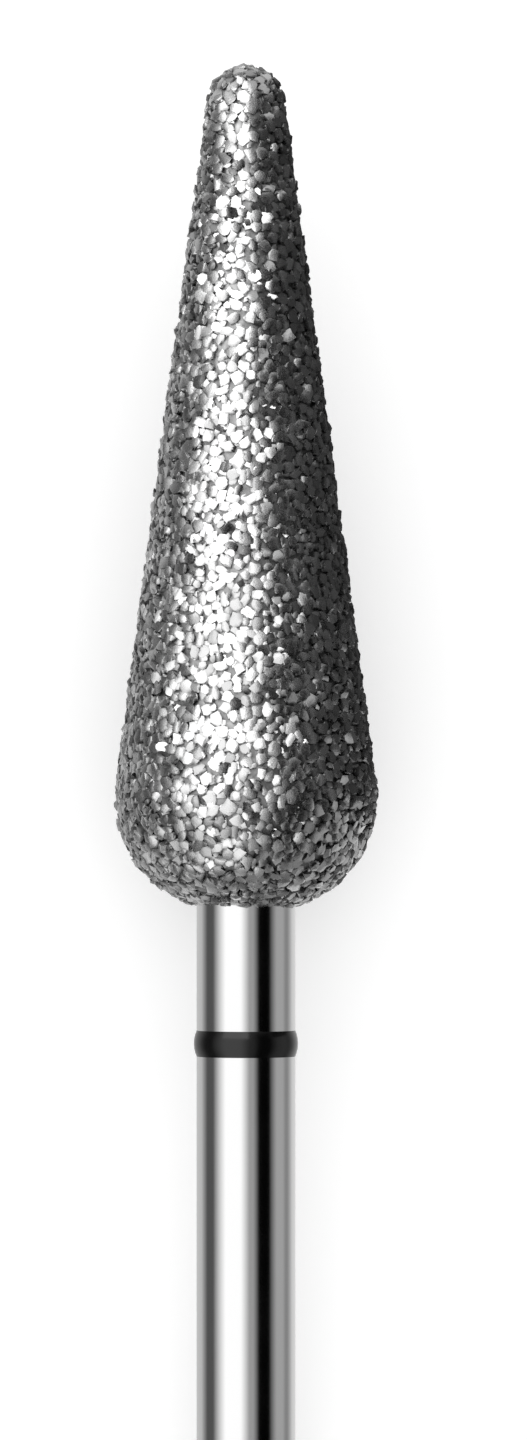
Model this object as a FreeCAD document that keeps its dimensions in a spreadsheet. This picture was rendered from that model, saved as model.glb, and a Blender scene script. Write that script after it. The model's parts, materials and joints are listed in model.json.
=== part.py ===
"""Dental laboratory bur with a coarse diamond head, for a straight handpiece.

The bur is three pieces. The steel blank is turned from one bar: a plain shank with a
chamfered end and a shallow seat for the colour ring, and a smooth tapered head core that
is larger at its base. The diamond coat is one layer of blocky grains held in plated metal
all over the core, from the rounded tip to a ragged lip on the shank. The colour ring is a
domed band of black lacquer that fills the seat below the head and shows how coarse the
grains are.

Each piece is drawn along X, from the centre of the shank's end (x = 0) to the head's tip.
Laid down, the bur rests on two grains of its belly and on the edge of its shank's end,
with Z up and the origin on the surface, under the middle of its length. Millimetres.
"""

import math
import os
import random

import FreeCAD, Part
import Sketcher

Vector = FreeCAD.Vector
START, END, CENTRE = 1, 2, 3
ORIGIN, AXIS = (-1, 1), -1

SIZES = (
    ("shank_diameter", 2.35),  # standard shank for a straight handpiece
    ("shank_length", 24.5),  # from the shank's end to the coat's lip
    ("end_chamfer", 0.3),
    ("ring_distance", 2.95),  # from the coat's lip to the ring
    ("ring_width", 0.62),
    ("ring_crown", 0.065),  # how far the ring stands out of the shank
    ("seat_depth", 0.18),  # how deep the ring's seat is turned
    ("head_length", 20.0),
    ("head_diameter", 6.25),  # over the grains, at the belly
    ("tip_radius", 0.95),
    ("base_radius", 2.75),
    ("lip_thickness", 0.12),  # of the coat, where it ends on the shank
    ("coat_thickness", 0.3),  # from the core to the highest grains
    ("grain_pitch", 0.45),
    ("grain_height", 0.17),  # of the grains above the plated metal between them
    ("grain_scatter", 0.2),  # how far a grain strays from its place, as a share of the pitch
)
GRAIN_SEED = 7
CORNER_DEPTHS = (0.8, 1.0)  # least and greatest, as shares of the grain's height
PEAK_DEPTHS = (0.0, 0.4)
SHARED_JOINT = 0.25  # two joints that are closer than this share of the pitch become one
FEWEST_GRAINS = 5  # in a row

# The turn about its axis, in degrees, near which the bur lies still between two high grains,
# and how far from it the lowest turn is looked for, in steps.
REST_ROLL = 195.5
ROLL_REACH = 3.0
ROLL_STEPS = 60

# Where the solver starts from, in degrees round each arc of the core.
TAPER_START, LIP_START = 85, 160


def make_sheet(doc):
    """The driving sizes, one alias to a row."""
    sheet = doc.addObject("Spreadsheet::Sheet", "sizes")
    for row, (alias, value) in enumerate(SIZES, start=1):
        sheet.set(f"A{row}", alias)
        sheet.set(f"B{row}", str(value))
        sheet.setAlias(f"B{row}", alias)
    doc.recompute()
    return sheet


def new_sketch(body, name, role="XY_Plane"):
    """An empty sketch on one of the body's own origin planes."""
    plane = next(f for f in body.Origin.OriginFeatures if f.Role == role)
    sketch = body.newObject("Sketcher::SketchObject", name)
    sketch.AttachmentSupport = (plane, [""])
    sketch.MapMode = "FlatFace"
    return sketch


def drive(sketch, name, formula, kind, *where):
    """Adds a dimension and ties it to a formula of the sheet's sizes."""
    value = sketch.evalExpression(formula)
    index = sketch.addConstraint(Sketcher.Constraint(kind, *where, float(value)))
    sketch.renameConstraint(index, name)
    sketch.setExpression(f"Constraints.{name}", formula)


def relate(sketch, kind, *where):
    """Adds a constraint that has no size."""
    sketch.addConstraint(Sketcher.Constraint(kind, *where))


def arc(centre_x, centre_y, radius, start_deg, end_deg):
    """An arc of a sketch, anticlockwise."""
    circle = Part.Circle(Vector(centre_x, centre_y, 0), Vector(0, 0, 1), radius)
    return Part.ArcOfCircle(circle, math.radians(start_deg), math.radians(end_deg))


def line(x1, y1, x2, y2):
    """A straight line of a sketch."""
    return Part.LineSegment(Vector(x1, y1, 0), Vector(x2, y2, 0))


def revolve(body, sketch, feature="Revolution"):
    """Turns a closed profile right round the bur's axis, adding or cutting metal."""
    turned = body.newObject(f"PartDesign::{feature}", f"{sketch.Name}_turned")
    turned.Profile = sketch
    turned.ReferenceAxis = (sketch, ["H_Axis"])
    turned.Angle = 360
    return turned


def add_shank(body):
    """The plain round shank, with a chamfered end."""
    section = new_sketch(body, "shank_section", "YZ_Plane")
    circle = section.addGeometry(Part.Circle(Vector(), Vector(0, 0, 1), 1), False)
    relate(section, "Coincident", circle, CENTRE, *ORIGIN)
    drive(section, "diameter", "sizes.shank_diameter", "Diameter", circle)
    shank = body.newObject("PartDesign::Pad", "shank")
    shank.Profile = section
    shank.setExpression("Length", "sizes.shank_length")
    body.Document.recompute()
    end_edge = next(
        f"Edge{n}"
        for n, edge in enumerate(shank.Shape.Edges, start=1)
        if edge.BoundBox.XMax < shank.Shape.BoundBox.XMin + Part.Precision.confusion()
    )
    chamfer = body.newObject("PartDesign::Chamfer", "shank_end")
    chamfer.Base = (shank, [end_edge])
    chamfer.setExpression("Size", "sizes.end_chamfer")


def add_core(body, size):
    """The smooth head core under the coat. Returns its sketch.

    The core is the head's outline set in by the coat's thickness, so its arcs share the
    centres of the outline's arcs. A construction circle is the outline's base arc, which
    ends on the lip.
    """
    lip_x = size["shank_length"]
    shank_r = size["shank_diameter"] / 2
    base_r = size["base_radius"] - size["coat_thickness"]
    tip_r = size["tip_radius"] - size["coat_thickness"]
    base_x = lip_x + size["base_radius"]
    base_y = size["head_diameter"] / 2 - size["base_radius"]
    tip_x = lip_x + size["head_length"] - size["tip_radius"]

    sketch = new_sketch(body, "core")
    shoulder, collar, base, taper, tip, axis = sketch.addGeometry(
        [
            line(lip_x, 0, lip_x, shank_r),
            line(lip_x, shank_r, base_x - base_r, shank_r),
            arc(base_x, base_y, base_r, TAPER_START, LIP_START),
            line(base_x, base_y + base_r, tip_x, tip_r),
            arc(tip_x, 0, tip_r, 0, TAPER_START),
            line(tip_x + tip_r, 0, lip_x, 0),
        ],
        False,
    )
    outline, lip = sketch.addGeometry(
        [
            Part.Circle(Vector(base_x, base_y, 0), Vector(0, 0, 1), size["base_radius"]),
            Part.Point(Vector(lip_x, shank_r + size["lip_thickness"], 0)),
        ],
        True,
    )
    relate(sketch, "Coincident", shoulder, END, collar, START)
    relate(sketch, "Coincident", collar, END, base, END)
    relate(sketch, "Tangent", base, START, taper, START)
    relate(sketch, "Tangent", taper, END, tip, END)
    relate(sketch, "Coincident", tip, START, axis, START)
    relate(sketch, "Coincident", axis, END, shoulder, START)
    relate(sketch, "Vertical", shoulder)
    relate(sketch, "Horizontal", collar)
    relate(sketch, "PointOnObject", shoulder, START, AXIS)
    relate(sketch, "PointOnObject", tip, START, AXIS)
    relate(sketch, "PointOnObject", tip, CENTRE, AXIS)
    relate(sketch, "Coincident", outline, CENTRE, base, CENTRE)
    relate(sketch, "PointOnObject", lip, START, outline)
    relate(sketch, "Vertical", shoulder, START, lip, START)
    drive(sketch, "lip_x", "sizes.shank_length", "DistanceX", *ORIGIN, shoulder, START)
    drive(sketch, "shank_radius", "sizes.shank_diameter / 2", "DistanceY", *ORIGIN, collar, START)
    drive(
        sketch,
        "lip_radius",
        "sizes.shank_diameter / 2 + sizes.lip_thickness",
        "DistanceY",
        *ORIGIN,
        lip,
        START,
    )
    drive(
        sketch,
        "tip_centre_x",
        "sizes.shank_length + sizes.head_length - sizes.tip_radius",
        "DistanceX",
        *ORIGIN,
        tip,
        CENTRE,
    )
    drive(
        sketch,
        "base_centre_y",
        "sizes.head_diameter / 2 - sizes.base_radius",
        "DistanceY",
        *ORIGIN,
        base,
        CENTRE,
    )
    drive(sketch, "outline_radius", "sizes.base_radius", "Radius", outline)
    drive(sketch, "core_base_radius", "sizes.base_radius - sizes.coat_thickness", "Radius", base)
    drive(sketch, "core_tip_radius", "sizes.tip_radius - sizes.coat_thickness", "Radius", tip)
    revolve(body, sketch)
    return sketch


RING_START = "sizes.shank_length - sizes.ring_distance - sizes.ring_width"
SEAT_RADIUS = "sizes.shank_diameter / 2 - sizes.seat_depth"


def ring_start(size):
    """How far the ring's lower edge is from the shank's end."""
    return size["shank_length"] - size["ring_distance"] - size["ring_width"]


def add_ring_seat(body, size):
    """The shallow square groove that the colour ring fills."""
    left = ring_start(size)
    right = left + size["ring_width"]
    top = size["shank_diameter"] / 2
    floor = top - size["seat_depth"]
    sketch = new_sketch(body, "ring_seat")
    bottom, side, mouth, far_side = sketch.addGeometry(
        [
            line(left, floor, right, floor),
            line(right, floor, right, top),
            line(right, top, left, top),
            line(left, top, left, floor),
        ],
        False,
    )
    for first, second in ((bottom, side), (side, mouth), (mouth, far_side), (far_side, bottom)):
        relate(sketch, "Coincident", first, END, second, START)
    relate(sketch, "Horizontal", bottom)
    relate(sketch, "Horizontal", mouth)
    relate(sketch, "Vertical", side)
    relate(sketch, "Vertical", far_side)
    drive(sketch, "start", RING_START, "DistanceX", *ORIGIN, bottom, START)
    drive(sketch, "width", "sizes.ring_width", "DistanceX", bottom, START, bottom, END)
    drive(sketch, "floor_radius", SEAT_RADIUS, "DistanceY", *ORIGIN, bottom, START)
    drive(sketch, "depth", "sizes.seat_depth", "DistanceY", side, START, side, END)
    revolve(body, sketch, "Groove")


def make_blank(doc, size):
    """The turned steel blank. Returns its body and the sketch of its core."""
    body = doc.addObject("PartDesign::Body", "steel_blank")
    add_shank(body)
    core = add_core(body, size)
    add_ring_seat(body, size)
    doc.recompute()
    return body, core


def make_ring(doc, size):
    """The colour ring: flush with the shank at its edges and domed between them."""
    left = ring_start(size)
    right = left + size["ring_width"]
    middle = (left + right) / 2
    edge_r = size["shank_diameter"] / 2
    floor = edge_r - size["seat_depth"]
    crown_r = edge_r + size["ring_crown"]
    body = doc.addObject("PartDesign::Body", "colour_ring")
    sketch = new_sketch(body, "ring_profile")
    bottom, side, far_side = sketch.addGeometry(
        [
            line(left, floor, right, floor),
            line(right, floor, right, edge_r),
            line(left, edge_r, left, floor),
        ],
        False,
    )
    dome_arc = Part.Arc(
        Vector(left, edge_r, 0), Vector(middle, crown_r, 0), Vector(right, edge_r, 0)
    )
    dome = sketch.addGeometry(dome_arc, False)
    crown = sketch.addGeometry(Part.Point(Vector(middle, crown_r, 0)), True)
    relate(sketch, "Coincident", bottom, END, side, START)
    relate(sketch, "Coincident", side, END, dome, START)
    relate(sketch, "Coincident", dome, END, far_side, START)
    relate(sketch, "Coincident", far_side, END, bottom, START)
    relate(sketch, "Horizontal", bottom)
    relate(sketch, "Vertical", side)
    relate(sketch, "Vertical", far_side)
    relate(sketch, "Horizontal", dome, START, dome, END)
    relate(sketch, "PointOnObject", crown, START, dome)
    relate(sketch, "Vertical", crown, START, dome, CENTRE)
    drive(sketch, "start", RING_START, "DistanceX", *ORIGIN, bottom, START)
    drive(sketch, "width", "sizes.ring_width", "DistanceX", bottom, START, bottom, END)
    drive(sketch, "floor_radius", SEAT_RADIUS, "DistanceY", *ORIGIN, bottom, START)
    drive(sketch, "depth", "sizes.seat_depth", "DistanceY", side, START, side, END)
    drive(sketch, "crown", "sizes.ring_crown", "DistanceY", dome, START, crown, START)
    revolve(body, sketch)
    doc.recompute()
    return body


class HeadOutline:
    """The head's outline over its highest grains, followed from the tip down to the lip."""

    def __init__(self, size, core):
        base, tip = [g for g in core.Geometry if isinstance(g, Part.ArcOfCircle)]
        self.base_centre = base.Center
        self.tip_centre = tip.Center
        self.base_radius = size["base_radius"]
        self.tip_radius = size["tip_radius"]
        self.taper_angle = tip.LastParameter
        lip = Vector(
            size["shank_length"], size["shank_diameter"] / 2 + size["lip_thickness"], 0
        )
        to_lip = lip - self.base_centre
        self.tip_end = self.tip_radius * self.taper_angle
        across = self.tip_centre.distanceToPoint(self.base_centre)
        self.taper_end = self.tip_end + math.sqrt(
            across**2 - (self.base_radius - self.tip_radius) ** 2
        )
        self.length = self.taper_end + self.base_radius * (
            math.atan2(to_lip.y, to_lip.x) - self.taper_angle
        )

    def at(self, run, depth=0.0):
        """(x, radius) of the point that is run along the outline from the tip, and depth
        under it."""
        if run < self.tip_end:
            centre, reach, angle = self.tip_centre, self.tip_radius, run / self.tip_radius
        elif run < self.taper_end:
            angle = self.taper_angle
            back = Vector(-math.sin(angle), math.cos(angle), 0) * (run - self.tip_end)
            centre, reach = self.tip_centre + back, self.tip_radius
        else:
            centre, reach = self.base_centre, self.base_radius
            angle = self.taper_angle + (run - self.taper_end) / self.base_radius
        point = centre + Vector(math.cos(angle), math.sin(angle), 0) * (reach - depth)
        return point.x, point.y


class GritSkin:
    """The outside of the coat: rows of grains, each a faceted peak on its own patch.

    The patches lie in rows round the head like courses of bricks. The joints between two
    patches of a row meet the rows above and below at corners, which lie low, where plated
    metal fills the space between the grains. Every patch rises from its corners to a peak.
    """

    def __init__(self, size, outline):
        self.pitch = size["grain_pitch"]
        self.height = size["grain_height"]
        self.scatter = size["grain_scatter"]
        self.outline = outline
        self.chance = random.Random(GRAIN_SEED)
        self.points = []
        self.facets = []
        self.lay_rows()

    def stray(self):
        """A random step to either side of a grain's place, as a share of the pitch."""
        return self.chance.uniform(-self.scatter, self.scatter)

    def add_point(self, run, angle, depth):
        """Adds a point on the skin and returns its number."""
        x, radius = self.outline.at(run, depth)
        self.points.append(Vector(x, radius * math.cos(angle), radius * math.sin(angle)))
        return len(self.points) - 1

    def add_corner(self, run, angle):
        """A corner between grains, low in the plated metal."""
        return self.add_point(run, angle, self.height * self.chance.uniform(*CORNER_DEPTHS))

    def add_peak(self, run, angle):
        """The peak of a grain, near the outline."""
        return self.add_point(run, angle, self.height * self.chance.uniform(*PEAK_DEPTHS))

    def joints(self, row_run):
        """The angles of the joints between the grains of a row."""
        around = 2 * math.pi * self.outline.at(row_run)[1]
        count = max(FEWEST_GRAINS, round(around / self.pitch))
        turn = self.chance.random()
        return [2 * math.pi * (n + turn + self.stray()) / count for n in range(count)]

    def lay_edge(self, run, joints_above, joints_below):
        """Lays the corners along the edge between two rows, in order of angle.

        Two joints that come close to one another share a corner. Returns the corners as a
        list of (angle, point number), and each row's own corners as their places in it.
        """
        radius = self.outline.at(run)[1]
        near = SHARED_JOINT * self.pitch / radius
        rows = {"above": joints_above, "below": joints_below}
        marks = sorted((a % (2 * math.pi), which) for which in rows for a in rows[which])
        corners = []
        own = {which: [] for which in rows}
        for angle, which in marks:
            if not corners or angle - corners[-1][0] > near or which in corners[-1][2]:
                corners.append([angle, None, {which}])
            else:
                corners[-1][2].add(which)
            own[which].append(len(corners) - 1)
        for corner in corners:
            corner[1] = self.add_corner(run + 0.5 * self.stray() * self.pitch, corner[0])
        return corners, own

    def between(self, corners, first, last):
        """The point numbers along an edge from one corner round to another."""
        steps = (last - first) % len(corners) or len(corners)
        return [corners[(first + n) % len(corners)][1] for n in range(steps + 1)]

    def add_grain(self, rim, peak):
        """Facets from each side of a patch up to its peak."""
        for first, second in zip(rim, rim[1:] + rim[:1]):
            self.facets.append((first, second, peak))

    def lay_rows(self):
        """Covers the head from the grain on its tip down to the lip, and closes the end."""
        rows = round(self.outline.length / self.pitch)
        step = self.outline.length / rows
        above = []
        edge, own = None, None
        for row in range(1, rows + 1):
            last = row == rows
            joints = [] if last else self.joints((row + 0.5) * step)
            next_edge, next_own = self.lay_edge(row * step, above, joints)
            if row == 1:
                self.add_grain([c[1] for c in next_edge], self.add_peak(0, 0))
            else:
                self.lay_row((row - 0.5) * step, edge, own["below"], next_edge, next_own["above"])
            edge, own, above = next_edge, next_own, joints
        centre = len(self.points)
        self.points.append(Vector(self.outline.at(self.outline.length)[0], 0, 0))
        self.add_grain([c[1] for c in reversed(edge)], centre)

    def lay_row(self, run, edge, starts, next_edge, ends):
        """Lays one row of grains between two edges."""
        for n, start in enumerate(starts):
            stop = starts[(n + 1) % len(starts)]
            low, high = ends[n], ends[(n + 1) % len(ends)]
            upper = self.between(edge, start, stop)
            lower = self.between(next_edge, low, high)
            angle = edge[start][0]
            width = (edge[stop][0] - angle) % (2 * math.pi)
            middle = angle + width * (0.5 + self.stray())
            peak = self.add_peak(run + self.stray() * self.pitch, middle)
            self.add_grain(lower + upper[::-1], peak)

    def solid(self):
        """The skin as one closed solid. Facets that meet share one edge."""
        corners = [Part.Vertex(p) for p in self.points]
        edges = {}

        def edge(a, b):
            key = (min(a, b), max(a, b))
            if key not in edges:
                edges[key] = Part.Edge(corners[key[0]], corners[key[1]])
            return edges[key]

        faces = []
        for a, b, c in self.facets:
            while a > b:
                a, b, c = b, c, a
            faces.append(Part.Face(Part.Wire([edge(a, b), edge(b, c), edge(c, a)])))
        return Part.Solid(Part.Shell(faces))


def make_coat(doc, skin, blank):
    """The diamond coat: the grit's skin, less the blank that it is plated on."""
    coat = doc.addObject("Part::Feature", "diamond_coat")
    coat.Shape = skin.solid().cut(blank.Shape)
    return coat


class Rest:
    """Where the bur comes to rest on its side: on the edge of its shank's end and on grains.

    It can lie on any grains round its belly, and rolls until it lies as low as it can. Then
    it stands on two high grains, one on each side.
    """

    def __init__(self, size, skin):
        self.edge_x = size["end_chamfer"]
        self.edge_r = size["shank_diameter"] / 2
        self.end_r = self.edge_r - size["end_chamfer"]
        self.points = skin.points

    def lift(self, roll):
        """How far the axis rises towards the head, in radians, after a roll in degrees."""
        down_y = -math.sin(math.radians(roll))
        down_z = -math.cos(math.radians(roll))
        return max(
            math.atan2(p.y * down_y + p.z * down_z - self.edge_r, p.x - self.edge_x)
            for p in self.points
        )

    def placement(self):
        """The placement at rest. The origin is under the middle of the length."""
        steps = range(-ROLL_STEPS, ROLL_STEPS + 1)
        rolls = [REST_ROLL + ROLL_REACH * step / ROLL_STEPS for step in steps]
        roll = min(rolls, key=self.lift)
        lift = math.degrees(self.lift(roll))
        turn = FreeCAD.Rotation(Vector(0, 1, 0), -lift).multiply(
            FreeCAD.Rotation(Vector(1, 0, 0), roll)
        )
        level = FreeCAD.Rotation(Vector(0, 1, 0), -lift)
        floor = level.multVec(Vector(self.edge_x, 0, -self.edge_r)).z
        end = level.multVec(Vector(0, 0, self.end_r)).x
        tip = max(turn.multVec(p).x for p in self.points)
        return FreeCAD.Placement(Vector(-(end + tip) / 2, 0, -floor), turn)


def check(doc, nodes):
    """Stops the build at any object that failed, and at any piece that isn't sound."""
    failed = [o.Name for o in doc.Objects if {"Invalid", "Error"} & set(o.State)]
    if failed:
        raise RuntimeError(f"these objects failed: {failed}")
    for node in nodes:
        if node.Shape.isNull() or not node.Shape.isValid() or not node.Shape.Solids:
            raise RuntimeError(f"{node.Label} has no sound solid")


def main():
    doc = FreeCAD.newDocument("dental_bur")
    sheet = make_sheet(doc)
    size = {alias: float(sheet.get(alias)) for alias, _ in SIZES}
    blank, core = make_blank(doc, size)
    ring = make_ring(doc, size)
    skin = GritSkin(size, HeadOutline(size, core))
    coat = make_coat(doc, skin, blank)
    nodes = (blank, coat, ring)
    rest = Rest(size, skin).placement()
    for node in nodes:
        node.Placement = rest
    doc.recompute()
    check(doc, nodes)
    os.makedirs("parts", exist_ok=True)
    for node in nodes:
        node.Shape.exportStep(f"parts/{node.Label}.step")
        box = node.Shape.BoundBox
        print(
            node.Label,
            f"{len(node.Shape.Solids)} solid, {len(node.Shape.Faces)} faces,",
            f"{node.Shape.Volume:.2f} mm3,",
            f"x {box.XMin:.3f} {box.XMax:.3f}, y {box.YMin:.3f} {box.YMax:.3f},",
            f"z {box.ZMin:.3f} {box.ZMax:.3f}",
        )


main()
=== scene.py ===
"""Dental laboratory bur with a coarse diamond head: its finishes, its grit and its stage.

The bur lies on a white card, on the grains of its belly and on the end of its shank. The
camera looks down on it, square to its axis, with the head at the top of the picture. All
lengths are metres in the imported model's frame.

Places along the bur are given in its own axes: along from the shank's end to the tip, left
as the camera sees it with the head up, and up towards the camera.
"""

import json
import math
import random

import bmesh
import bpy
from bpy.props import FloatProperty, FloatVectorProperty, IntProperty, PointerProperty
from mathutils import Matrix, Vector


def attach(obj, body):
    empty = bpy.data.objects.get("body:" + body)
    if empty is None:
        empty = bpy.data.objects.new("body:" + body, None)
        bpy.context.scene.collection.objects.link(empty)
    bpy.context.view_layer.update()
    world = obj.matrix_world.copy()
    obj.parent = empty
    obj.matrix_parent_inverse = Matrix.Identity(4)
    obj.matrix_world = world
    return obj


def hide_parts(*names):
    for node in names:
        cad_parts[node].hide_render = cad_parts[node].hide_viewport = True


bl_info = {
    "name": "Diamond Bur",
    "version": (1, 0, 0),
    "blender": (4, 5, 0),
    "location": "View3D > Sidebar > Bur",
    "description": "Gives a packed diamond bur its steel, grit and lacquer, and a stage",
    "category": "Object",
}

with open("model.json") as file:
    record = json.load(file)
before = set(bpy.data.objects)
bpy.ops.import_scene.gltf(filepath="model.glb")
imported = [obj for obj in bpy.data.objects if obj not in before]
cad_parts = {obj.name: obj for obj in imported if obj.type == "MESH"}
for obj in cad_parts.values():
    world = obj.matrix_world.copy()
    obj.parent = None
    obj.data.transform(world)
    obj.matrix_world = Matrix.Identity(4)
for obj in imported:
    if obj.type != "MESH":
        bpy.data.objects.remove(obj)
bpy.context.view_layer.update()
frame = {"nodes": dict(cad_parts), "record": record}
MM = 0.001

MOUNTS = {mount["name"]: mount for mount in frame["record"]["mounts"]}
END = Vector(MOUNTS["shank_end"]["pos_m"])
ALONG = -Vector(MOUNTS["shank_end"]["axis"]).normalized()
LEFT = Vector((0, 1, 0))
UP = ALONG.cross(LEFT)
SHANK_RADIUS = MOUNTS["shank"]["dims"]["r_mm"] * MM


def bur_axes():
    """The matrix from (along, left, up) of the shank's end to the model's frame."""
    turn = Matrix((ALONG, LEFT, UP)).transposed().to_4x4()
    return Matrix.Translation(END) @ turn


def linear(code):
    """The linear RGBA of an sRGB hex code, such as #C8C8C8."""
    channels = [int(code[n : n + 2], 16) / 255 for n in (1, 3, 5)]
    return [c / 12.92 if c <= 0.04045 else ((c + 0.055) / 1.055) ** 2.4 for c in channels] + [1]


def length_setting(name, millimetres, description):
    """A length that the user can change, given in millimetres and held in metres."""
    return FloatProperty(
        name=name, description=description, default=millimetres * MM, unit="LENGTH", precision=5
    )


def colour_setting(name, code, description):
    """A colour that the user can change."""
    return FloatVectorProperty(
        name=name, description=description, default=linear(code), size=4, subtype="COLOR"
    )


class BurSizes(bpy.types.PropertyGroup):
    """Sizes of the head and of its grit."""

    shank_length: length_setting("Shank length", 24.5, "From the shank's end to the coat's lip")
    head_length: length_setting("Head length", 20.0, "From the coat's lip to the tip")
    head_diameter: length_setting("Head diameter", 6.25, "Over the grains, at the belly")
    tip_radius: length_setting("Tip radius", 0.95, "Of the head's round tip, over the grains")
    base_radius: length_setting("Base radius", 2.75, "Of the head's round base, over the grains")
    lip_thickness: length_setting("Lip thickness", 0.12, "Of the coat where it ends on the shank")
    coat_thickness: length_setting("Coat thickness", 0.3, "From the steel core to the grain tips")
    bond_depth: length_setting("Bond depth", 0.2, "From the grain tips to the metal between them")
    coarse_width: length_setting("Coarse width", 0.26, "Of a middling coarse grain")
    coarse_spacing: length_setting("Coarse spacing", 0.222, "Least distance of coarse grains")
    coarse_depth: length_setting("Coarse depth", 0.1, "From the grain tips to the centres")
    fine_width: length_setting("Fine width", 0.19, "Of a middling fine grain")
    fine_spacing: length_setting("Fine spacing", 0.19, "Least distance of fine grains")
    fine_depth: length_setting("Fine depth", 0.13, "From the grain tips to the centres")
    lump_size: length_setting("Lump size", 0.16, "Of the fine lumps of the plated metal")
    lump_relief: length_setting("Lump relief", 0.06, "Height of the fine lumps")
    seed: IntProperty(name="Seed", description="Chooses where the grains fall", default=4)


class BurFinish(bpy.types.PropertyGroup):
    """Colours of the bur's finishes."""

    steel: colour_setting("Steel", "#D2D2D2", "Of the polished stainless steel")
    grain: colour_setting("Grain", "#DCDCDC", "Of the grains' plated tops")
    # painted shade: the root colour darkens the grains' sides and the hollows between grains and
    # lumps, where shade falls
    root: colour_setting("Root", "#747474", "Of the grains' sides and the metal between them")
    lacquer: colour_setting("Lacquer", "#060606", "Of the ring")
    card: colour_setting("Card", "#F2F2F2", "Of the card that the bur lies on")


class BurStage(bpy.types.PropertyGroup):
    """Where the camera stands and what it takes in."""

    lens: FloatProperty(
        name="Lens", description="Focal length", default=250.0, unit="CAMERA"
    )
    view_height: length_setting("View height", 34.2, "Height of the picture at the bur's axis")
    view_along: length_setting("View along", 28.92, "From the shank's end to the picture's middle")
    view_right: length_setting("View right", 0.416, "From the axis to the picture's middle")


def add_node(tree, kind, settings=None, inputs=None):
    """Adds a node, with its settings, and with its inputs set or linked."""
    node = tree.nodes.new(kind)
    for name, value in (settings or {}).items():
        setattr(node, name, value)
    for key, value in (inputs or {}).items():
        if isinstance(value, bpy.types.NodeSocket):
            tree.links.new(value, node.inputs[key])
        else:
            node.inputs[key].default_value = value
    return node


def new_material(name, shader_kind="ShaderNodeBsdfPrincipled"):
    """A new material and its tree, with one shader that is linked to the output."""
    material = bpy.data.materials.new(name)
    material.use_nodes = True
    tree = material.node_tree
    tree.nodes.clear()
    shader = add_node(tree, shader_kind)
    add_node(tree, "ShaderNodeOutputMaterial", inputs={"Surface": shader.outputs[0]})
    return material, tree, shader


def own_axes(tree):
    """Object coordinates turned to (along, left, up) of the bur, in millimetres."""
    coords = add_node(tree, "ShaderNodeTexCoord")
    place = bur_axes() @ Matrix.Scale(MM, 4)
    return add_node(
        tree,
        "ShaderNodeMapping",
        {"vector_type": "TEXTURE"},
        {
            "Vector": coords.outputs["Object"],
            "Location": place.to_translation(),
            "Rotation": place.to_euler(),
            "Scale": place.to_scale(),
        },
    ).outputs[0]


LINES_PER_MM = 12.0
# how slowly the grinding lines change round the bar, against the change along it
LINES_ROUND = 0.04
SMEARS_PER_MM = 0.8
STEEL_ROUGHNESS = (0.09, 0.16)
WAVE_HEIGHT = 0.004 * MM
LINE_HEIGHT = 0.001 * MM


def polished_steel(finish):
    """Stainless steel, centreless ground and polished: bright, with faint rings of grinding."""
    material, tree, shader = new_material("polished_stainless_steel")
    shader.inputs["Base Color"].default_value = finish.steel
    shader.inputs["Metallic"].default_value = 1.0
    millimetres = own_axes(tree)
    rings = add_node(
        tree,
        "ShaderNodeMapping",
        {"vector_type": "POINT"},
        {"Vector": millimetres, "Scale": (1.0, LINES_ROUND, LINES_ROUND)},
    )
    # real grinding rings are about 0.02 mm apart, drawn here at 0.08 mm so that they show
    lines = add_node(
        tree,
        "ShaderNodeTexNoise",
        inputs={"Vector": rings.outputs[0], "Scale": LINES_PER_MM, "Detail": 3.0},
    )
    smears = add_node(
        tree,
        "ShaderNodeTexNoise",
        inputs={"Vector": millimetres, "Scale": SMEARS_PER_MM, "Detail": 4.0},
    )
    polish = add_node(
        tree,
        "ShaderNodeMapRange",
        inputs={
            "Value": smears.outputs[0],
            "To Min": STEEL_ROUGHNESS[0],
            "To Max": STEEL_ROUGHNESS[1],
        },
    )
    # polishing leaves the bar very slightly wavy, which softens the edges of reflections
    wave = add_node(
        tree,
        "ShaderNodeBump",
        inputs={"Strength": 0.4, "Distance": WAVE_HEIGHT, "Height": smears.outputs[0]},
    )
    bump = add_node(
        tree,
        "ShaderNodeBump",
        inputs={
            "Strength": 0.2,
            "Distance": LINE_HEIGHT,
            "Height": lines.outputs[0],
            "Normal": wave.outputs[0],
        },
    )
    tree.links.new(polish.outputs[0], shader.inputs["Roughness"])
    tree.links.new(bump.outputs[0], shader.inputs["Normal"])
    return material


LACQUER_IOR = 1.45
LACQUER_ROUGHNESS = (0.14, 0.24)
PEEL_PER_MM = 6.0
PEEL_HEIGHT = 0.002 * MM


def black_lacquer(finish):
    """Baked black lacquer: nearly black, with a soft gloss and a faint orange peel."""
    material, tree, shader = new_material("baked_black_lacquer")
    shader.inputs["Base Color"].default_value = finish.lacquer
    shader.inputs["IOR"].default_value = LACQUER_IOR
    peel = add_node(
        tree,
        "ShaderNodeTexNoise",
        inputs={"Vector": own_axes(tree), "Scale": PEEL_PER_MM, "Detail": 2.0},
    )
    gloss = add_node(
        tree,
        "ShaderNodeMapRange",
        inputs={
            "Value": peel.outputs[0],
            "To Min": LACQUER_ROUGHNESS[0],
            "To Max": LACQUER_ROUGHNESS[1],
        },
    )
    bump = add_node(
        tree,
        "ShaderNodeBump",
        inputs={"Strength": 0.2, "Distance": PEEL_HEIGHT, "Height": peel.outputs[0]},
    )
    tree.links.new(gloss.outputs[0], shader.inputs["Roughness"])
    tree.links.new(bump.outputs[0], shader.inputs["Normal"])
    return material


# how far a grain mirrors as one flat facet, and not as its rounded surface
FACET_SHARE = 0.8
# the least and the most of the bright colour on the grains' tops
GRAIN_TONES = (0.3, 1.0)
PITS_PER_MM = 22.0
PIT_HEIGHT = 0.01 * MM
# how much the pits add to the roughness, and take from it
SATIN_SPREAD = 0.1


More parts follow.
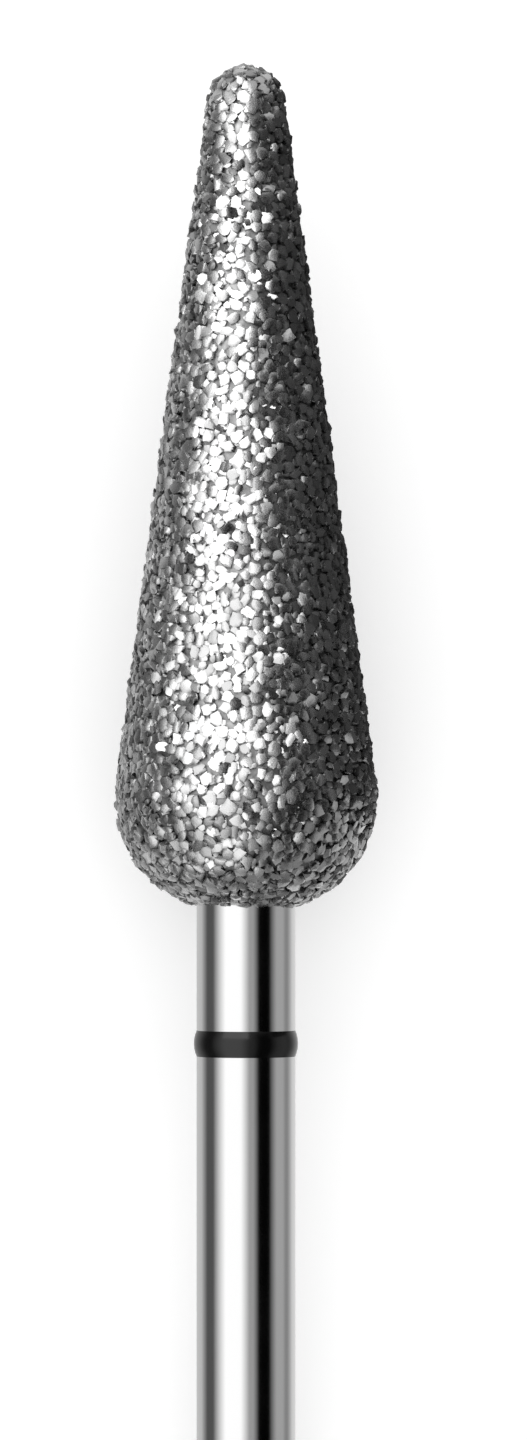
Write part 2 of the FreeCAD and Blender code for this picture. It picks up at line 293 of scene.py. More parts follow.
def plated_grit(name, finish, roughness):
    """Diamond grains under electroplated nickel: satin bright tops, and painted shade that darkens
    their sides and the metal between them.
    """
    material, tree, shader = new_material(name)
    shader.inputs["Metallic"].default_value = 1.0
    height_for_painted_shade = add_node(tree, "ShaderNodeAttribute", {"attribute_name": "height_for_painted_shade"})
    shade = add_node(tree, "ShaderNodeAttribute", {"attribute_name": "shade"})
    # painted shade: the lower a point lies, the further its colour goes from the grain colour to
    # the dark root colour
    height = add_node(
        tree,
        "ShaderNodeMapRange",
        {"interpolation_type": "SMOOTHSTEP"},
        {"Value": height_for_painted_shade.outputs["Fac"]},
    )
    bright = add_node(
        tree,
        "ShaderNodeMapRange",
        inputs={
            "Value": shade.outputs["Fac"],
            "To Min": GRAIN_TONES[0],
            "To Max": GRAIN_TONES[1],
        },
    )
    mixed = add_node(
        tree,
        "ShaderNodeMath",
        {"operation": "MULTIPLY"},
        {0: height.outputs[0], 1: bright.outputs[0]},
    )
    colour = add_node(
        tree,
        "ShaderNodeMix",
        {"data_type": "RGBA"},
        {"Factor": mixed.outputs[0], 6: finish.root, 7: finish.grain},
    )
    pits = add_node(
        tree,
        "ShaderNodeTexNoise",
        inputs={"Vector": own_axes(tree), "Scale": PITS_PER_MM, "Detail": 3.0},
    )
    satin = add_node(
        tree,
        "ShaderNodeMapRange",
        inputs={
            "Value": pits.outputs[0],
            "To Min": roughness - SATIN_SPREAD,
            "To Max": roughness + SATIN_SPREAD,
        },
    )
    # plating fills a grain's edges, so its top mirrors as one facet: the facet's own lean
    facet = add_node(tree, "ShaderNodeAttribute", {"attribute_name": "facet"})
    curve = add_node(tree, "ShaderNodeNewGeometry")
    lean = add_node(
        tree,
        "ShaderNodeMix",
        {"data_type": "VECTOR"},
        {"Factor": FACET_SHARE, 4: curve.outputs["Normal"], 5: facet.outputs["Vector"]},
    )
    even = add_node(tree, "ShaderNodeVectorMath", {"operation": "NORMALIZE"}, {0: lean.outputs[1]})
    bump = add_node(
        tree,
        "ShaderNodeBump",
        inputs={
            "Strength": 0.3,
            "Distance": PIT_HEIGHT,
            "Height": pits.outputs[0],
            "Normal": even.outputs[0],
        },
    )
    tree.links.new(colour.outputs[2], shader.inputs["Base Color"])
    tree.links.new(satin.outputs[0], shader.inputs["Roughness"])
    tree.links.new(bump.outputs[0], shader.inputs["Normal"])
    return material


class HeadOutline:
    """The head's outline over its grain tips, followed from the tip down to the lip."""

    def __init__(self, sizes):
        """Works out the two arcs of the outline and the straight flank between them."""
        self.tip_radius, self.base_radius = sizes.tip_radius, sizes.base_radius
        lip_rise = SHANK_RADIUS + sizes.lip_thickness
        base_rise = sizes.head_diameter / 2 - sizes.base_radius
        reach = math.sqrt(sizes.base_radius**2 - (lip_rise - base_rise) ** 2)
        self.base_centre = Vector((sizes.shank_length + reach, base_rise))
        tip_at = sizes.shank_length + sizes.head_length - sizes.tip_radius
        self.tip_centre = Vector((tip_at, 0))
        apart = self.tip_centre - self.base_centre
        slope = math.asin((sizes.base_radius - sizes.tip_radius) / apart.length)
        self.flank_angle = math.pi / 2 + math.atan2(apart.y, apart.x) - slope
        self.tip_run = self.tip_radius * self.flank_angle
        self.flank_run = apart.length * math.cos(slope)
        lip_angle = math.atan2(lip_rise - base_rise, -reach)
        self.base_run = self.base_radius * (lip_angle - self.flank_angle)
        self.run = self.tip_run + self.flank_run + self.base_run

    def at(self, share, depth):
        """(along, radius) at a share of the way from the tip to the lip, at a depth."""
        run = share * self.run
        centre, reach, angle = self.tip_centre, self.tip_radius, run / self.tip_radius
        if run > self.tip_run + self.flank_run:
            centre, reach = self.base_centre, self.base_radius
            angle = self.flank_angle + (run - self.tip_run - self.flank_run) / reach
        elif run > self.tip_run:
            angle = self.flank_angle
            down = Vector((-math.sin(angle), math.cos(angle)))
            centre = self.tip_centre + down * (run - self.tip_run)
        return centre + Vector((math.cos(angle), math.sin(angle))) * (reach - depth)


def new_object(name, mesh):
    """Turns a bmesh into an object of the scene, and frees it."""
    data = bpy.data.meshes.new(name)
    mesh.to_mesh(data)
    mesh.free()
    made = bpy.data.objects.new(name, data)
    bpy.context.scene.collection.objects.link(made)
    return made


SHUFFLE_SEED = 3
# a point nearer to the axis than this, in metres, counts as on it
ON_AXIS = 1e-9


def lathe(name, profile, segments):
    """A surface turned round the bur's axis. Points on the axis become poles."""
    mesh = bmesh.new()
    axes = bur_axes()
    rings = []
    for along, radius in profile:
        if radius < ON_AXIS:
            rings.append([mesh.verts.new(axes @ Vector((along, 0, 0)))])
            continue
        ring = []
        for n in range(segments):
            angle = 2 * math.pi * n / segments
            spot = Vector((along, radius * math.cos(angle), radius * math.sin(angle)))
            ring.append(mesh.verts.new(axes @ spot))
        rings.append(ring)
    patches = [(pair, n) for pair in zip(rings, rings[1:]) for n in range(segments)]
    # grains are laid face by face, so shuffled faces keep them from falling into rows
    random.Random(SHUFFLE_SEED).shuffle(patches)
    for (ring, after), n in patches:
        corners = [ring[n % len(ring)], ring[(n + 1) % len(ring)]]
        corners += [after[(n + 1) % len(after)], after[n % len(after)]]
        mesh.faces.new(dict.fromkeys(corners))
    bmesh.ops.recalc_face_normals(mesh, faces=mesh.faces)
    return new_object(name, mesh)


def new_tree(name, inputs):
    """A Geometry Nodes tree with named inputs. Returns the tree and its input's sockets."""
    tree = bpy.data.node_groups.new(name, "GeometryNodeTree")
    for label, kind in (("Geometry", "NodeSocketGeometry"), *inputs):
        tree.interface.new_socket(label, in_out="INPUT", socket_type=kind)
    tree.interface.new_socket("Geometry", in_out="OUTPUT", socket_type="NodeSocketGeometry")
    return tree, add_node(tree, "NodeGroupInput").outputs


def grow(piece, tree, values):
    """Runs a Geometry Nodes tree on a piece and keeps its result as a plain mesh."""
    modifier = piece.modifiers.new(tree.name, "NODES")
    modifier.node_group = tree
    for item in tree.interface.items_tree:
        if item.in_out == "INPUT" and item.name in values:
            modifier[item.identifier] = values[item.name]
    graph = bpy.context.evaluated_depsgraph_get()
    grown = bpy.data.meshes.new_from_object(
        piece.evaluated_get(graph), preserve_all_data_layers=True, depsgraph=graph
    )
    piece.modifiers.clear()
    piece.data = grown
    piece.data.name = piece.name


# how far the lumps melt into each other, and how far from a lump's centre, in lump sizes, the
# metal lies lowest
LUMP_BLEND = 0.3
LUMP_REACH = 0.8


def lumpy_metal_tree():
    """Raises a surface into fine rounded lumps, as plated metal grows."""
    tree, given = new_tree(
        "plated_lumps",
        (
            ("Lump size", "NodeSocketFloat"),
            ("Relief", "NodeSocketFloat"),
            ("Material", "NodeSocketMaterial"),
        ),
    )
    scale = add_node(
        tree, "ShaderNodeMath", {"operation": "DIVIDE"}, {0: 1.0, 1: given["Lump size"]}
    )
    cells = add_node(
        tree,
        "ShaderNodeTexVoronoi",
        {"feature": "SMOOTH_F1"},
        {"Scale": scale.outputs[0], "Smoothness": LUMP_BLEND},
    )
    dome = add_node(
        tree,
        "ShaderNodeMapRange",
        inputs={
            "Value": cells.outputs["Distance"],
            "From Max": LUMP_REACH,
            "To Min": 1.0,
            "To Max": 0.0,
        },
    )
    rise = add_node(
        tree,
        "ShaderNodeMath",
        {"operation": "MULTIPLY"},
        {0: dome.outputs[0], 1: given["Relief"]},
    )
    normal = add_node(tree, "GeometryNodeInputNormal")
    faced = add_node(
        tree,
        "GeometryNodeStoreNamedAttribute",
        {"data_type": "FLOAT_VECTOR", "domain": "POINT"},
        {"Geometry": given["Geometry"], "Name": "facet", "Value": normal.outputs[0]},
    )
    offset = add_node(
        tree,
        "ShaderNodeVectorMath",
        {"operation": "SCALE"},
        {0: normal.outputs[0], "Scale": rise.outputs[0]},
    )
    raised = add_node(
        tree,
        "GeometryNodeSetPosition",
        inputs={"Geometry": faced.outputs[0], "Offset": offset.outputs[0]},
    )
    # the lumps' height, from which painted shade darkens the hollows between them
    noted = add_node(
        tree,
        "GeometryNodeStoreNamedAttribute",
        {"data_type": "FLOAT", "domain": "POINT"},
        {"Geometry": raised.outputs[0], "Name": "height_for_painted_shade", "Value": dome.outputs[0]},
    )
    smooth = add_node(
        tree, "GeometryNodeSetShadeSmooth", inputs={"Geometry": noted.outputs[0]}
    )
    real = add_node(
        tree, "GeometryNodeRealizeInstances", inputs={"Geometry": smooth.outputs[0]}
    )
    dressed = add_node(
        tree,
        "GeometryNodeSetMaterial",
        inputs={"Geometry": real.outputs[0], "Material": given["Material"]},
    )
    add_node(tree, "NodeGroupOutput", inputs={"Geometry": dressed.outputs[0]})
    return tree


GRAIN_SHAPES = 5
# a grain's surface is drawn this far towards a ball of this radius, and is then pushed about
# by noise of this strength and scale, where the grain is 1 across
ROUNDNESS = 0.7
BALL_RADIUS = 0.56
UNEVENNESS = 0.8
UNEVEN_SCALE = 1.6
# the grains' least and most stretch, sideways twice and in height, in grain widths
STRETCH = ((0.65, 0.65, 0.5), (1.3, 1.3, 0.8))
# the most that a grain tilts, and the most that its facet leans beyond that
TILT = math.radians(11)
FACET_STRAY = 0.65
# grains that grew together: the size of their patches and how far those lean
PATCH_SIZE = 0.8 * MM
PATCH_STRAY = 0.45
# the height over a grain's centre, in grain widths, above which no painted shade darkens it
PAINTED_SHADE_TOP = 0.28
# how many grains are tried on each square of the least distance, so that none is left bare
CROWD = 6.0
# the seeds of what is drawn for each grain
RISE_SEED, TONE_SEED, TURN_SEED, STRETCH_SEED, SHAPE_SEED, LEAN_SEED = range(11, 17)


def add_grain_shape(tree, number, layers):
    """Adds the nodes of one grain: a blocky crystal, rounded and uneven, 1 across."""
    block = add_node(
        tree,
        "GeometryNodeMeshCube",
        inputs={"Size": (1, 1, 1), "Vertices X": 3, "Vertices Y": 3, "Vertices Z": layers},
    )
    spot = add_node(tree, "GeometryNodeInputPosition")
    ball = add_node(
        tree, "ShaderNodeVectorMath", {"operation": "NORMALIZE"}, {0: spot.outputs[0]}
    )
    half = add_node(
        tree,
        "ShaderNodeVectorMath",
        {"operation": "SCALE"},
        {0: ball.outputs[0], "Scale": BALL_RADIUS},
    )
    rounded = add_node(
        tree,
        "ShaderNodeMix",
        {"data_type": "VECTOR"},
        {"Factor": ROUNDNESS, 4: spot.outputs[0], 5: half.outputs[0]},
    )
    uneven = add_node(
        tree,
        "ShaderNodeTexNoise",
        {"noise_dimensions": "4D"},
        {
            "Vector": spot.outputs[0],
            "W": 10.0 * number,
            "Scale": UNEVEN_SCALE,
            "Detail": 0.0,
        },
    )
    centred = add_node(
        tree,
        "ShaderNodeVectorMath",
        {"operation": "SUBTRACT"},
        {0: uneven.outputs["Color"], 1: (0.5, 0.5, 0.5)},
    )
    bent = add_node(
        tree,
        "ShaderNodeVectorMath",
        {"operation": "MULTIPLY_ADD"},
        {0: centred.outputs[0], 1: (UNEVENNESS,) * 3, 2: rounded.outputs[1]},
    )
    shaped = add_node(
        tree,
        "GeometryNodeSetPosition",
        inputs={"Geometry": block.outputs[0], "Position": bent.outputs[0]},
    )
    return add_node(
        tree, "GeometryNodeGeometryToInstance", inputs={"Geometry": shaped.outputs[0]}
    ).outputs[0]


def grit_tree(name, layers):
    """Scatters grains over a surface, at least a spacing apart, each turned its own way."""
    tree, given = new_tree(
        name,
        (
            ("Spacing", "NodeSocketFloat"),
            ("Width", "NodeSocketFloat"),
            ("Rise", "NodeSocketFloat"),
            ("Seed", "NodeSocketInt"),
            ("Material", "NodeSocketMaterial"),
        ),
    )
    crowd = add_node(
        tree, "ShaderNodeMath", {"operation": "POWER"}, {0: given["Spacing"], 1: -2.0}
    )
    dense = add_node(
        tree, "ShaderNodeMath", {"operation": "MULTIPLY"}, {0: crowd.outputs[0], 1: CROWD}
    )
    spread = add_node(
        tree,
        "GeometryNodeDistributePointsOnFaces",
        {"distribute_method": "POISSON"},
        {
            "Mesh": given["Geometry"],
            "Distance Min": given["Spacing"],
            "Density Max": dense.outputs[0],
            "Seed": given["Seed"],
        },
    )
    up_and_down = add_node(
        tree,
        "FunctionNodeRandomValue",
        {"data_type": "FLOAT"},
        {2: -1.0, 3: 1.0, "Seed": RISE_SEED},
    )
    rise = add_node(
        tree,
        "ShaderNodeMath",
        {"operation": "MULTIPLY"},
        {0: up_and_down.outputs[1], 1: given["Rise"]},
    )
    lift = add_node(
        tree,
        "ShaderNodeVectorMath",
        {"operation": "SCALE"},
        {0: spread.outputs["Normal"], "Scale": rise.outputs[0]},
    )
    set_down = add_node(
        tree,
        "GeometryNodeSetPosition",
        inputs={"Geometry": spread.outputs["Points"], "Offset": lift.outputs[0]},
    )
    outward = add_node(
        tree,
        "GeometryNodeStoreNamedAttribute",
        {"data_type": "FLOAT_VECTOR", "domain": "POINT"},
        {"Geometry": set_down.outputs[0], "Name": "outward", "Value": spread.outputs["Normal"]},
    )
    spot = add_node(tree, "GeometryNodeInputPosition")
    centre = add_node(
        tree,
        "GeometryNodeStoreNamedAttribute",
        {"data_type": "FLOAT_VECTOR", "domain": "POINT"},
        {"Geometry": outward.outputs[0], "Name": "centre", "Value": spot.outputs[0]},
    )
    tone = add_node(
        tree,
        "FunctionNodeRandomValue",
        {"data_type": "FLOAT"},
        {2: 0.0, 3: 1.0, "Seed": TONE_SEED},
    )
    shaded = add_node(
        tree,
        "GeometryNodeStoreNamedAttribute",
        {"data_type": "FLOAT", "domain": "POINT"},
        {"Geometry": centre.outputs[0], "Name": "shade", "Value": tone.outputs[1]},
    )
    # most facets lean little and a few lean much: the fifth power of an even chance
    chance = add_node(
        tree,
        "FunctionNodeRandomValue",
        {"data_type": "FLOAT_VECTOR"},
        {0: (-1, -1, -1), 1: (1, 1, 1), "Seed": LEAN_SEED},
    )
    squared = add_node(
        tree,
        "ShaderNodeVectorMath",
        {"operation": "MULTIPLY"},
        {0: chance.outputs[0], 1: chance.outputs[0]},
    )
    cubed = add_node(
        tree,
        "ShaderNodeVectorMath",
        {"operation": "MULTIPLY"},
        {0: squared.outputs[0], 1: chance.outputs[0]},
    )
    fifth = add_node(
        tree,
        "ShaderNodeVectorMath",
        {"operation": "MULTIPLY"},
        {0: cubed.outputs[0], 1: squared.outputs[0]},
    )
    stray = add_node(
        tree,
        "ShaderNodeVectorMath",
        {"operation": "SCALE"},
        {0: fifth.outputs[0], "Scale": FACET_STRAY},
    )
    # grains that grew together lean together, in patches
    patch = add_node(
        tree,
        "ShaderNodeTexNoise",
        inputs={"Vector": spot.outputs[0], "Scale": 1 / PATCH_SIZE, "Detail": 1.0},
    )
    patch_stray = add_node(
        tree,
        "ShaderNodeVectorMath",
        {"operation": "MULTIPLY_ADD"},
        {0: patch.outputs["Color"], 1: (PATCH_STRAY,) * 3, 2: (-PATCH_STRAY / 2,) * 3},
    )
    both_strays = add_node(
        tree,
        "ShaderNodeVectorMath",
        {"operation": "ADD"},
        {0: stray.outputs[0], 1: patch_stray.outputs[0]},
    )
    leant = add_node(
        tree,
        "ShaderNodeVectorMath",
        {"operation": "ADD"},
        {0: spread.outputs["Normal"], 1: both_strays.outputs[0]},
    )
    faceted = add_node(
        tree,
        "GeometryNodeStoreNamedAttribute",
        {"data_type": "FLOAT_VECTOR", "domain": "POINT"},
        {"Geometry": shaded.outputs[0], "Name": "facet", "Value": leant.outputs[0]},
    )
    shapes = add_node(tree, "GeometryNodeJoinGeometry")
    for number in range(GRAIN_SHAPES):
        tree.links.new(add_grain_shape(tree, number, layers), shapes.inputs[0])
    turn = add_node(
        tree,
        "FunctionNodeRandomValue",
        {"data_type": "FLOAT_VECTOR"},
        {0: (-TILT, -TILT, 0), 1: (TILT, TILT, 2 * math.pi), "Seed": TURN_SEED},
    )
    own_turn = add_node(
        tree, "FunctionNodeEulerToRotation", inputs={"Euler": turn.outputs[0]}
    )
    pose = add_node(
        tree,
        "FunctionNodeRotateRotation",
        {"rotation_space": "LOCAL"},
        {"Rotation": spread.outputs["Rotation"], "Rotate By": own_turn.outputs[0]},
    )
    stretch = add_node(
        tree,
        "FunctionNodeRandomValue",
        {"data_type": "FLOAT_VECTOR"},
        {0: STRETCH[0], 1: STRETCH[1], "Seed": STRETCH_SEED},
    )
    size = add_node(
        tree,
        "ShaderNodeVectorMath",
        {"operation": "SCALE"},
        {0: stretch.outputs[0], "Scale": given["Width"]},
    )
    which = add_node(
        tree,
        "FunctionNodeRandomValue",
        {"data_type": "INT"},
        {4: 0, 5: GRAIN_SHAPES - 1, "Seed": SHAPE_SEED},
    )
    placed = add_node(
        tree,
        "GeometryNodeInstanceOnPoints",
        inputs={
            "Points": faceted.outputs[0],
            "Instance": shapes.outputs[0],
            "Pick Instance": True,
            "Instance Index": which.outputs[2],
            "Rotation": pose.outputs[0],
            "Scale": size.outputs[0],
        },
    )
    real = add_node(
        tree, "GeometryNodeRealizeInstances", inputs={"Geometry": placed.outputs[0]}
    )
    from_centre = add_node(
        tree, "GeometryNodeInputNamedAttribute", {"data_type": "FLOAT_VECTOR"}, {"Name": "centre"}
    )
    facing = add_node(
        tree, "GeometryNodeInputNamedAttribute", {"data_type": "FLOAT_VECTOR"}, {"Name": "outward"}
    )
    # each point's height over its grain's centre, from which the painted shade on the grains'
    # sides is drawn
    arm = add_node(
        tree,
        "ShaderNodeVectorMath",
        {"operation": "SUBTRACT"},
        {0: spot.outputs[0], 1: from_centre.outputs[0]},
    )
    above = add_node(
        tree,
        "ShaderNodeVectorMath",
        {"operation": "DOT_PRODUCT"},
        {0: arm.outputs[0], 1: facing.outputs[0]},
    )
    painted_shade_top = add_node(
        tree, "ShaderNodeMath", {"operation": "MULTIPLY"}, {0: given["Width"], 1: PAINTED_SHADE_TOP}
    )
    height_for_painted_shade = add_node(
        tree,
        "ShaderNodeMapRange",
        {"clamp": True},
        {
            "Value": above.outputs["Value"],
            "From Min": 0.0,
            "From Max": painted_shade_top.outputs[0],
        },
    )
    noted = add_node(
        tree,
        "GeometryNodeStoreNamedAttribute",
        {"data_type": "FLOAT", "domain": "POINT"},
        {"Geometry": real.outputs[0], "Name": "height_for_painted_shade", "Value": height_for_painted_shade.outputs[0]},
    )
    bare = noted.outputs[0]
    for helper in ("outward", "centre"):
        bare = add_node(
            tree, "GeometryNodeRemoveAttribute", inputs={"Geometry": bare, "Name": helper}
        ).outputs[0]
    smooth = add_node(tree, "GeometryNodeSetShadeSmooth", inputs={"Geometry": bare})
    dressed = add_node(
        tree,
        "GeometryNodeSetMaterial",
        inputs={"Geometry": smooth.outputs[0], "Material": given["Material"]},
    )
    add_node(tree, "NodeGroupOutput", inputs={"Geometry": dressed.outputs[0]})
    return tree


def repaint(node, material):
    """Gives a carried-over node its material."""
    for slot in frame["nodes"][node].material_slots:
        slot.material = material


class BUR_OT_polish_blank(bpy.types.Operator):
    """Polishes the steel blank"""

    bl_idname = "bur.polish_blank"
    bl_label = "Polish Blank"

    def execute(self, context):
        repaint("steel_blank", polished_steel(context.scene.bur_finish))
        return {"FINISHED"}


class BUR_OT_lacquer_ring(bpy.types.Operator):
    """Lacquers the ring below the head"""

    bl_idname = "bur.lacquer_ring"
    bl_label = "Lacquer Ring"

    def execute(self, context):
        repaint("colour_ring", black_lacquer(context.scene.bur_finish))
        return {"FINISHED"}


# rows from the tip to the lip and segments round the axis, outside, and rows inside
BOND_ROWS, BOND_SEGMENTS = 220, 200
CORE_ROWS = 24
BOND_ROUGHNESS = 0.42


class BUR_OT_plate_bond(bpy.types.Operator):
    """Grows the plated metal that holds the grains"""

    bl_idname = "bur.plate_bond"
    bl_label = "Plate Bond"

    def execute(self, context):
        sizes = context.scene.bur_sizes
        outline = HeadOutline(sizes)
        outside = [outline.at(n / BOND_ROWS, sizes.bond_depth) for n in range(BOND_ROWS + 1)]
        inside = [outline.at(n / CORE_ROWS, sizes.coat_thickness) for n in range(CORE_ROWS + 1)]
        # towards the lip, the coat's inside ends where it meets the shank
        inside = [
            (along, radius)
            for along, radius in inside
            if radius > SHANK_RADIUS or along > outline.base_centre.x
        ]
        lip = [(outside[-1][0], SHANK_RADIUS), (inside[-1][0], SHANK_RADIUS)]
        piece = lathe("nickel_bond", outside + lip + inside[::-1], BOND_SEGMENTS)
        material = plated_grit("plated_nickel", context.scene.bur_finish, BOND_ROUGHNESS)
        grow(
            piece,
            lumpy_metal_tree(),
            {"Lump size": sizes.lump_size, "Relief": sizes.lump_relief, "Material": material},
        )
        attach(piece, "root")
        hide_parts("diamond_coat")
        return {"FINISHED"}


SEAT_ROWS, SEAT_SEGMENTS = 90, 64
# the most that a grain stands higher or lower than its seat
GRAIN_RISE = 0.025 * MM
# vertices in a grain's height, and the roughness of its plating
COARSE_LAYERS, COARSE_ROUGHNESS = 3, 0.27
FINE_LAYERS, FINE_ROUGHNESS = 2, 0.3


def set_grains(context, name, width, spacing, depth, layers, seed, roughness):
    """Sets one size of grain all over the head, and replaces the faceted coat by it."""
    sizes = context.scene.bur_sizes
    outline = HeadOutline(sizes)
    seats = [outline.at(n / SEAT_ROWS, depth) for n in range(SEAT_ROWS + 1)]
    piece = lathe(name, seats, SEAT_SEGMENTS)
    values = {
        "Spacing": spacing,
        "Width": width,
        "Rise": GRAIN_RISE,
        "Seed": seed,
        "Material": plated_grit(name + "_finish", context.scene.bur_finish, roughness),
    }
    grow(piece, grit_tree(name, layers), values)
    if not piece.data.polygons:
        raise RuntimeError("no grains were set")
    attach(piece, "root")
    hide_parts("diamond_coat")


class BUR_OT_set_coarse_grains(bpy.types.Operator):
    """Sets the coarse diamond grains in the plated metal"""

    bl_idname = "bur.set_coarse_grains"
    bl_label = "Set Coarse Grains"

    def execute(self, context):
        sizes = context.scene.bur_sizes
        places = (sizes.coarse_width, sizes.coarse_spacing, sizes.coarse_depth)
        looks = (COARSE_LAYERS, sizes.seed, COARSE_ROUGHNESS)
        set_grains(context, "coarse_grains", *places, *looks)
        return {"FINISHED"}


class BUR_OT_set_fine_grains(bpy.types.Operator):
    """Sets the finer grains between the coarse ones"""

    bl_idname = "bur.set_fine_grains"
    bl_label = "Set Fine Grains"

    def execute(self, context):
        sizes = context.scene.bur_sizes
        places = (sizes.fine_width, sizes.fine_spacing, sizes.fine_depth)
        looks = (FINE_LAYERS, sizes.seed + 1, FINE_ROUGHNESS)
        set_grains(context, "fine_grains", *places, *looks)
        return {"FINISHED"}


# what the card adds to its own colour where it is seen, so that it comes out white
CARD_GLOW = 0.3


def white_card(finish):
    """A matt white card, which the camera and reflections see as white."""
    material, tree, shader = new_material("matt_white_card")
    shader.inputs["Base Color"].default_value = finish.card
    shader.inputs["Roughness"].default_value = 0.9
    path = add_node(tree, "ShaderNodeLightPath")
    seen = path.outputs["Is Camera Ray"]
    for ray in ("Is Glossy Ray", "Is Transmission Ray"):
        seen = add_node(
            tree, "ShaderNodeMath", {"operation": "MAXIMUM"}, {0: seen, 1: path.outputs[ray]}
        ).outputs[0]
    strength = add_node(
        tree, "ShaderNodeMath", {"operation": "MULTIPLY"}, {0: seen, 1: CARD_GLOW}
    )
    shader.inputs["Emission Color"].default_value = linear("#FFFFFF")
    tree.links.new(strength.outputs[0], shader.inputs["Emission Strength"])
    return material


# The studio that polished metal sees, from one side round to the other: each band's name, its
# first and last angle round the bur in degrees from the camera to the left, and its brightness.
# Between two bands the light fades evenly.
STUDIO = (
    ("white card, from the right", -180, -138, 0.85),
    ("gap under the grey wall", -114, -106, 0.34),
    ("grey wall on the right", -96, -76, 0.52),
    ("black flag", -56, -30, 0.0),
    ("dim panel above", -17, -8, 0.47),
    ("softbox", 12, 49, 1.55),
    ("dark gap on the left", 82, 103, 0.12),
    ("white card, from the left", 128, 180, 0.7),
)
# A brightness that none of them passes, which stands for 1 in the ramp.
TOP_LEVEL = 1.6
# The walls beyond the bur's two ends: each one's name, how squarely a ray faces it where it
# begins and where it fills the view, with 1 straight on past the tip, and its brightness.
END_WALLS = (
    ("wall beyond the shank's end", -0.8, -0.97, 0.32),
    ("wall beyond the tip", 0.5, 0.8, 0.75),
)


def studio_light():
    """What polished metal sees: a softbox to the left, a black flag to the right."""
    material, tree, glow = new_material("studio_light", "ShaderNodeEmission")
    glow.inputs["Strength"].default_value = TOP_LEVEL
    spot = own_axes(tree)
    axes = add_node(tree, "ShaderNodeSeparateXYZ", inputs={0: spot})
    angle = add_node(
        tree,
        "ShaderNodeMath",
        {"operation": "ARCTAN2"},
        {0: axes.outputs["Y"], 1: axes.outputs["Z"]},
    )
    share = add_node(
        tree,
        "ShaderNodeMapRange",
        inputs={"Value": angle.outputs[0], "From Min": -math.pi, "From Max": math.pi},
    )
    ramp = add_node(tree, "ShaderNodeValToRGB", inputs={"Fac": share.outputs[0]})
    stops = ramp.color_ramp.elements
    edges = [(at, level) for _, start, end, level in STUDIO for at in (start, end)]
    while len(stops) < len(edges):
        stops.new(0.5)
    for stop, (degrees, level) in zip(stops, edges):
        stop.position = degrees / 360 + 0.5
        stop.color = (level / TOP_LEVEL,) * 3 + (1,)
    far = add_node(
        tree, "ShaderNodeVectorMath", {"operation": "NORMALIZE"}, {0: spot}
    )
    facing = add_node(tree, "ShaderNodeSeparateXYZ", inputs={0: far.outputs[0]})
    seen = ramp.outputs[0]
    for _, start, full, level in END_WALLS:
        wall = add_node(
            tree,
            "ShaderNodeMapRange",
            {"interpolation_type": "SMOOTHSTEP"},
            {"Value": facing.outputs["X"], "From Min": start, "From Max": full},
        )
        seen = add_node(
            tree,
            "ShaderNodeMix",
            {"data_type": "RGBA"},
            {"Factor": wall.outputs[0], 6: seen, 7: (level / TOP_LEVEL,) * 3 + (1,)},
        ).outputs[2]
    tree.links.new(seen, glow.inputs["Color"])
    return material


def panel_light(name, level):
    """Even light of a panel beside the head, or the little that a black cloth gives."""
    material, _, glow = new_material(name, "ShaderNodeEmission")
    glow.inputs["Strength"].default_value = level
    return material


def show_in_reflections_only(thing):
    """Keeps a light of the studio out of the picture and off the card."""
    thing.visible_camera = False
    thing.visible_diffuse = False
    thing.visible_shadow = False


# half the side of the card and the radius of the studio, in metres
FLOOR_HALF = 1.2
DOME_RADIUS = 0.4
DOME_SEGMENTS, DOME_ROWS = 48, 24
# The bent panels beside the head: their radius round the axis in millimetres, the step from
# corner to corner in degrees, and of each its name, first and last angle in degrees from the
# camera to the left, stretch along the axis in millimetres, and brightness.
PANEL_RADIUS = 14.0
PANEL_STEP = 10
PANELS = (
    ("black_flag", -172, -62, (26.0, 52.0), 0.07),
    ("head_softbox", -6, 54, (26.0, 42.5), 2.45),
    ("tip_softbox", -6, 54, (42.5, 60.0), 3.5),
)
# how many times nearer and farther than the bur the camera still sees
CLIP_SPAN = 100


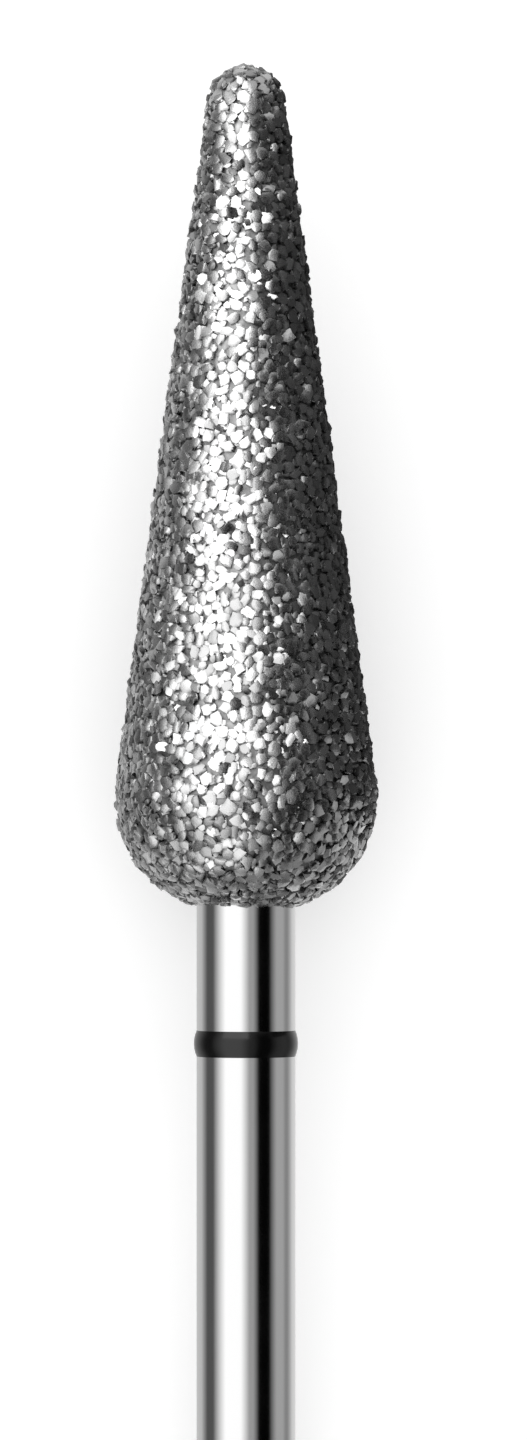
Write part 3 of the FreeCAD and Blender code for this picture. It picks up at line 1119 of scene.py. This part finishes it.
class BUR_OT_set_stage(bpy.types.Operator):
    """Sets the card, the lights and the camera"""

    bl_idname = "bur.set_stage"
    bl_label = "Set Stage"

    def execute(self, context):
        scene = context.scene
        self.add_card(scene)
        self.add_studio(scene)
        for panel in PANELS:
            self.add_panel(*panel)
        self.add_camera(scene)
        scene.view_settings.view_transform = "Standard"
        return {"FINISHED"}

    def add_card(self, scene):
        """A wide white card under the bur."""
        mesh = bmesh.new()
        bmesh.ops.create_grid(mesh, x_segments=1, y_segments=1, size=FLOOR_HALF)
        card = new_object("white_card", mesh)
        card.data.materials.append(white_card(scene.bur_finish))
        card.visible_glossy = False

    def add_panel(self, name, first, last, stretch, level):
        """A panel bent round the head, that only reflections see."""
        mesh = bmesh.new()
        axes = bur_axes()
        rows = []
        for along in stretch:
            row = []
            for degrees in range(first, last + 1, PANEL_STEP):
                angle = math.radians(degrees)
                left, up = PANEL_RADIUS * math.sin(angle), PANEL_RADIUS * math.cos(angle)
                row.append(mesh.verts.new(axes @ (Vector((along, left, up)) * MM)))
            rows.append(row)
        for n in range(len(rows[0]) - 1):
            mesh.faces.new((rows[0][n], rows[0][n + 1], rows[1][n + 1], rows[1][n]))
        panel = new_object(name, mesh)
        panel.data.materials.append(panel_light(name, level))
        show_in_reflections_only(panel)

    def add_studio(self, scene):
        """An even white sky, and a studio that only reflections see."""
        world = bpy.data.worlds.new("white_room")
        world.use_nodes = True
        background = world.node_tree.nodes["Background"]
        background.inputs["Color"].default_value = linear("#FFFFFF")
        background.inputs["Strength"].default_value = 1.0
        scene.world = world
        mesh = bmesh.new()
        bmesh.ops.create_uvsphere(
            mesh, u_segments=DOME_SEGMENTS, v_segments=DOME_ROWS, radius=DOME_RADIUS
        )
        studio = new_object("studio", mesh)
        studio.data.materials.append(studio_light())
        show_in_reflections_only(studio)

    def add_camera(self, scene):
        """A long lens above the bur, square to its axis, with the head up."""
        stage = scene.bur_stage
        data = bpy.data.cameras.new("camera")
        data.lens = stage.lens
        distance = stage.view_height * stage.lens / data.sensor_width
        data.clip_start = distance / CLIP_SPAN
        data.clip_end = distance * CLIP_SPAN
        camera = bpy.data.objects.new("camera", data)
        axes = bur_axes()
        spot = axes @ Vector((stage.view_along, -stage.view_right, distance))
        turn = Matrix((-LEFT, ALONG, UP)).transposed().to_4x4()
        camera.matrix_world = Matrix.Translation(spot) @ turn
        scene.collection.objects.link(camera)
        scene.camera = camera


OPERATORS = (
    BUR_OT_polish_blank,
    BUR_OT_lacquer_ring,
    BUR_OT_plate_bond,
    BUR_OT_set_coarse_grains,
    BUR_OT_set_fine_grains,
    BUR_OT_set_stage,
)


class BUR_PT_sidebar(bpy.types.Panel):
    """Lists the bur's sizes, colours and steps"""

    bl_idname = "BUR_PT_sidebar"
    bl_label = "Diamond Bur"
    bl_space_type = "VIEW_3D"
    bl_region_type = "UI"
    bl_category = "Bur"

    def draw(self, context):
        """Draws every setting, and a button for every step."""
        for group in (context.scene.bur_sizes, context.scene.bur_finish, context.scene.bur_stage):
            for name in group.bl_rna.properties.keys():
                if name not in ("name", "rna_type"):
                    self.layout.prop(group, name)
        for operator in OPERATORS:
            self.layout.operator(operator.bl_idname)


GROUPS = {"bur_sizes": BurSizes, "bur_finish": BurFinish, "bur_stage": BurStage}


def register():
    """Adds the settings, the steps and the panel to Blender."""
    for group in GROUPS.values():
        bpy.utils.register_class(group)
    for name, group in GROUPS.items():
        setattr(bpy.types.Scene, name, PointerProperty(type=group))
    for kind in (*OPERATORS, BUR_PT_sidebar):
        bpy.utils.register_class(kind)


def unregister():
    """Takes them away again."""
    for kind in (BUR_PT_sidebar, *reversed(OPERATORS)):
        bpy.utils.unregister_class(kind)
    for name, group in GROUPS.items():
        delattr(bpy.types.Scene, name)
        bpy.utils.unregister_class(group)


def main():
    """Runs the steps in order."""
    register()
    for operator in OPERATORS:
        group, name = operator.bl_idname.split(".")
        getattr(getattr(bpy.ops, group), name)()


if __name__ == "__main__":
    main()
